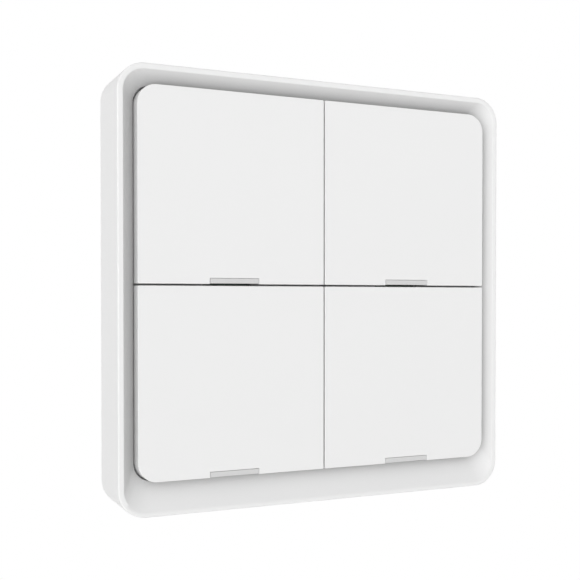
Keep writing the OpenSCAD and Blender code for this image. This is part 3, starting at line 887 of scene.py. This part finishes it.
@dataclass
class RearCase:
    """The back shell with its screws, its keeper discs and the coin cell in its well.

    Sizes are in millimetres, and levels are heights above the wall.
    """

    back_level: float = 2.0
    edge_round: float = 0.15
    cell_radius: float = 12.25
    cell_level: float = 2.3
    can_height: float = 2.6
    cell_height: float = 3.0
    cell_round: float = 0.4
    step_depth: float = 0.06
    step_inner: float = 1.6
    step_outer: float = 1.4
    cap_radius: float = 10.05
    cap_chamfer: float = 0.1
    lip_outer: float = 0.25
    lip_inner: float = 0.15
    seal_depth: float = 0.15
    keeper_radius: float = 5.0
    keeper_level: float = 2.1
    keeper_thickness: float = 0.5
    keeper_round: float = 0.08
    keeper_at: float = 26.0
    screw_round: float = 0.08
    screw_head_level: float = 2.15

    def build_tray(self) -> bpy.types.Object:
        """Returns the back shell, with the edges of its back face rounded."""
        bm = cad_copy("rear_tray")
        back_edges = sharp_edges(bm, lambda at: at.z < self.back_level + TOUCH)
        round_edges(bm, back_edges, self.edge_round, segments=2)
        return stand("rear_shell", bm)

    def build_screws(self) -> bpy.types.Object:
        """Returns the case screws, with the edges of their heads and recesses broken."""
        bm = cad_copy("case_screws")
        head_edges = sharp_edges(bm, lambda at: at.z < self.screw_head_level + TOUCH)
        round_edges(bm, head_edges, self.screw_round, segments=2)
        return stand("case_screw_set", bm)

    def build_keepers(self) -> bpy.types.Object:
        """Returns the punched steel discs that the magnets hold."""
        bm = bmesh.new()
        low, high = self.keeper_level, self.keeper_level + self.keeper_thickness
        edge = self.keeper_round
        for x in (-self.keeper_at, self.keeper_at):
            for y in (-self.keeper_at, self.keeper_at):
                turned(
                    bm,
                    (
                        (0.0, low),
                        (self.keeper_radius - edge, low),
                        (self.keeper_radius, low + edge),
                        (self.keeper_radius, high),
                        (0.0, high),
                    ),
                    x,
                    y,
                )
        bmesh.ops.remove_doubles(bm, verts=bm.verts, dist=LATHE_MERGE)
        bmesh.ops.recalc_face_normals(bm, faces=bm.faces)
        return stand("keeper_disc_set", bm)

    def build_cell(self) -> bpy.types.Object:
        """Returns the coin cell: a pressed can with a stepped back, rolled in over its cap."""
        bm = bmesh.new()
        low = self.cell_level
        lip = low + self.can_height
        high = low + self.cell_height
        roll = self.cell_round
        centre = self.cell_radius - roll
        arc = [math.radians(turn) for turn in range(0, 91, 15)]
        back = [(centre + roll * math.sin(turn), low + roll * (1.0 - math.cos(turn))) for turn in arc]
        front = [(centre + roll * math.cos(turn), lip - roll + roll * math.sin(turn)) for turn in arc]
        profile = [
            (0.0, low + self.step_depth),
            (centre - self.step_inner, low + self.step_depth),
            (centre - self.step_outer, low),
            *back,
            *front,
            (self.cap_radius + self.lip_outer, lip),
            (self.cap_radius + self.lip_inner, lip - self.seal_depth),
            (self.cap_radius, lip - self.seal_depth),
            (self.cap_radius, high - self.cap_chamfer),
            (self.cap_radius - self.cap_chamfer, high),
            (0.0, high),
        ]
        turned(bm, profile, 0.0, 0.0, steps=96)
        bmesh.ops.remove_doubles(bm, verts=bm.verts, dist=LATHE_MERGE)
        bmesh.ops.recalc_face_normals(bm, faces=bm.faces)
        return stand("coin_cell_can", bm)

    def dress(self) -> None:
        """Builds the back shell and what shows in it, and gives them their finishes."""
        dress(self.build_tray(), TRAY_ABS, Body.HOUSING, "rear_tray")
        dress(self.build_screws(), ZINC_PLATE, Body.HOUSING, "case_screws")
        dress(self.build_keepers(), ZINC_PLATE, Body.HOUSING, "keeper_discs")
        dress(self.build_cell(), CELL_STEEL, Body.HOUSING, "coin_cell")


@dataclass
class WallMount:
    """The plate that stays on the wall, and its magnets. Sizes are in millimetres."""

    edge_round: float = 0.15
    magnet_radius: float = 5.0
    magnet_level: float = 0.5
    magnet_thickness: float = 1.2
    magnet_round: float = 0.25
    # The middle of a rounding lies in from both faces by about this share of its radius
    round_middle: float = 0.3
    magnet_at: float = 26.0

    def build_plate(self) -> bpy.types.Object:
        """Returns the wall plate, with the edges of its rim, ribs, pads and holes rounded at the wall."""
        bm = cad_copy("wall_plate")
        wall_edges = sharp_edges(bm, lambda at: at.z < TOUCH)
        round_edges(bm, wall_edges, self.edge_round, segments=2)
        return stand("mounting_plate", bm)

    def build_magnets(self) -> bpy.types.Object:
        """Returns the four disc magnets, with rounded rims."""
        bm = bmesh.new()
        low, high = self.magnet_level, self.magnet_level + self.magnet_thickness
        reach, edge = self.magnet_radius, self.magnet_round
        dip = self.round_middle * edge
        for x in (-self.magnet_at, self.magnet_at):
            for y in (-self.magnet_at, self.magnet_at):
                turned(
                    bm,
                    (
                        (0.0, low),
                        (reach - edge, low),
                        (reach - dip, low + dip),
                        (reach, low + edge),
                        (reach, high - edge),
                        (reach - dip, high - dip),
                        (reach - edge, high),
                        (0.0, high),
                    ),
                    x,
                    y,
                )
        bmesh.ops.remove_doubles(bm, verts=bm.verts, dist=LATHE_MERGE)
        bmesh.ops.recalc_face_normals(bm, faces=bm.faces)
        return stand("magnet_set", bm)

    def dress(self) -> None:
        """Builds the wall plate and its magnets and gives them their finishes."""
        dress(self.build_plate(), PLATE_ABS, Body.PLATE, "wall_plate")
        dress(self.build_magnets(), MAGNET_NICKEL, Body.PLATE, "wall_magnets")


@dataclass
class Works:
    """The inner pieces, which stay as the CAD has them: carrier, board, switches, radio and springs."""

    nodes: tuple[str, ...] = (
        "key_carrier",
        "circuit_board",
        "switch_bodies",
        "switch_caps",
        "switch_terminals",
        "plunger_upper_left",
        "plunger_upper_right",
        "plunger_lower_left",
        "plunger_lower_right",
        "indicator_lamps",
        "radio_module",
        "radio_can",
        "chip_parts",
        "battery_spider",
        "battery_leaf",
    )

    def dress(self) -> None:
        """Gives each inner piece the finish of its slot in the record."""
        slots = {part["node"]: part["material_slot"] for part in frame["record"]["subparts"]}
        for node in self.nodes:
            finish = FINISHES[Slot(slots[node])]
            frame["nodes"][node].data.materials.clear()
            frame["nodes"][node].data.materials.append(finish.material())
            LOG.info("%s: kept from the CAD, %s", node, finish.name)


@dataclass(frozen=True)
class Glow:
    """A wide soft light, full along its direction and fading to nothing at right angles to it.

    A higher narrowness makes it fade sooner.
    """

    towards: tuple[float, float, float]
    strength: float
    narrowness: float = 1.0


@dataclass
class Studio:
    """Plain soft light on white, and a pale floor. Lengths are in metres.

    A faint even glow is joined by a strong one from the front left, and by two weaker ones from behind.
    """

    glows: tuple[Glow, ...] = (
        Glow((-0.5, -0.86, -0.03), 2.61, 3.0),
        Glow((-0.72, 0.69, 0.0), 0.72, 3.0),
        Glow((0.65, 0.76, 0.0), 1.35),
    )
    even_glow: float = 0.065
    floor_gap: float = 0.3
    floor_radius: float = 0.5
    floor_tone: str = "#E6E6E4"
    floor_lift: float = 0.75

    def seen_directly(self, tree: bpy.types.NodeTree) -> bpy.types.NodeSocket:
        """Returns a socket that is 1 for rays from the camera, from gloss and through clear pieces."""
        path = add_node(tree, "ShaderNodeLightPath")
        mirror = add_node(
            tree,
            "ShaderNodeMath",
            {0: path.outputs["Is Camera Ray"], 1: path.outputs["Is Glossy Ray"]},
            operation="MAXIMUM",
        )
        clear = add_node(
            tree,
            "ShaderNodeMath",
            {0: mirror.outputs["Value"], 1: path.outputs["Is Transmission Ray"]},
            operation="MAXIMUM",
        )
        return clear.outputs["Value"]

    def light_surround(self) -> None:
        """Makes the world: white where it is seen, and soft wide glows on the object."""
        world = bpy.data.worlds.new("white_surround")
        bpy.context.scene.world = world
        world.use_nodes = True
        tree = world.node_tree
        tree.nodes.clear()
        towards = add_node(tree, "ShaderNodeTexCoord").outputs["Generated"]
        level: bpy.types.NodeSocket | float = self.even_glow
        for glow in self.glows:
            facing = add_node(
                tree,
                "ShaderNodeVectorMath",
                {0: towards, 1: Vector(glow.towards).normalized()},
                operation="DOT_PRODUCT",
            )
            ahead = add_node(tree, "ShaderNodeMapRange", {"Value": facing.outputs["Value"]})
            beam = add_node(
                tree, "ShaderNodeMath", {0: ahead.outputs["Result"], 1: glow.narrowness}, operation="POWER"
            )
            level = add_node(
                tree,
                "ShaderNodeMath",
                {0: beam.outputs["Value"], 1: glow.strength, 2: level},
                operation="MULTIPLY_ADD",
            ).outputs["Value"]
        lit = add_node(tree, "ShaderNodeBackground", {"Color": linear("#FFFFFF"), "Strength": level})
        seen = add_node(tree, "ShaderNodeBackground", {"Color": linear("#FFFFFF"), "Strength": 1.0})
        both = add_node(
            tree,
            "ShaderNodeMixShader",
            {0: self.seen_directly(tree), 1: lit.outputs["Background"], 2: seen.outputs["Background"]},
        )
        add_node(tree, "ShaderNodeOutputWorld", {"Surface": both.outputs["Shader"]})

    def lay_floor(self) -> None:
        """Lays a pale round floor below the object. It is white to the camera, less the shadow on it."""
        low, _ = CAD_BOX
        bm = bmesh.new()
        bmesh.ops.create_circle(bm, cap_ends=True, segments=96, radius=self.floor_radius)
        bmesh.ops.translate(bm, vec=(0.0, 0.0, low.z - self.floor_gap), verts=bm.verts)
        mesh = bpy.data.meshes.new("floor")
        bm.to_mesh(mesh)
        bm.free()
        floor = bpy.data.objects.new("floor", mesh)
        bpy.context.scene.collection.objects.link(floor)
        paper = bpy.data.materials.new("matt_white_paper")
        paper.use_nodes = True
        tree = paper.node_tree
        tree.nodes.clear()
        matt = add_node(tree, "ShaderNodeBsdfDiffuse", {"Color": linear(self.floor_tone)})
        lift = add_node(
            tree,
            "ShaderNodeMapRange",
            {"Value": self.seen_directly(tree), "To Min": 0.0, "To Max": self.floor_lift},
        )
        glow = add_node(tree, "ShaderNodeEmission", {"Strength": lift.outputs["Result"]})
        both = add_node(tree, "ShaderNodeAddShader", {0: matt.outputs["BSDF"], 1: glow.outputs["Emission"]})
        add_node(tree, "ShaderNodeOutputMaterial", {"Surface": both.outputs["Shader"]})
        mesh.materials.append(paper)

    def build(self) -> None:
        """Sets up the light and the floor."""
        bpy.context.scene.view_settings.view_transform = "Standard"
        self.light_surround()
        self.lay_floor()


@dataclass
class Viewpoint:
    """The camera, fitted to the edges of the frame and of the keys.

    Angles are in degrees and lengths in metres, and the focal length and the horizon are in pixels.
    """

    place: tuple[float, float, float] = (-0.085905, -0.186895, -0.001651)
    yaw: float = 24.326
    pitch: float = 0.940
    focal_px: float = 939.95
    horizon_px: float = 315.23
    nearest: float = 0.01
    farthest: float = 20.0

    def build(self) -> None:
        """Makes the camera and sets it as the scene's."""
        lens = bpy.data.cameras.new("viewpoint")
        lens.sensor_width = SENSOR_MM
        lens.lens = self.focal_px / IMAGE_SIDE_PX * SENSOR_MM
        lens.shift_y = (self.horizon_px - IMAGE_SIDE_PX / 2.0) / IMAGE_SIDE_PX
        lens.clip_start = self.nearest
        lens.clip_end = self.farthest
        camera = bpy.data.objects.new("viewpoint", lens)
        camera.location = self.place
        camera.rotation_euler = (math.radians(90.0 - self.pitch), 0.0, math.radians(-self.yaw))
        bpy.context.scene.collection.objects.link(camera)
        bpy.context.scene.camera = camera


@dataclass
class WallSwitch:
    """The whole object, sub-assembly by sub-assembly."""

    bezel: Bezel = field(default_factory=Bezel)
    keys: tuple[Key, ...] = (
        Key("upper_left", Body.UPPER_LEFT),
        Key("upper_right", Body.UPPER_RIGHT),
        Key("lower_left", Body.LOWER_LEFT),
        Key("lower_right", Body.LOWER_RIGHT),
    )
    rear_case: RearCase = field(default_factory=RearCase)
    wall_mount: WallMount = field(default_factory=WallMount)
    works: Works = field(default_factory=Works)

    def dress(self) -> None:
        """Builds and dresses every sub-assembly."""
        for part in (self.bezel, *self.keys, self.rear_case, self.wall_mount, self.works):
            part.dress()


def main() -> None:
    """Builds the camera, the studio and the object."""
    logging.basicConfig(level=logging.INFO, format="%(message)s")
    Viewpoint().build()
    Studio().build()
    WallSwitch().dress()


if __name__ == "__main__":
    main()
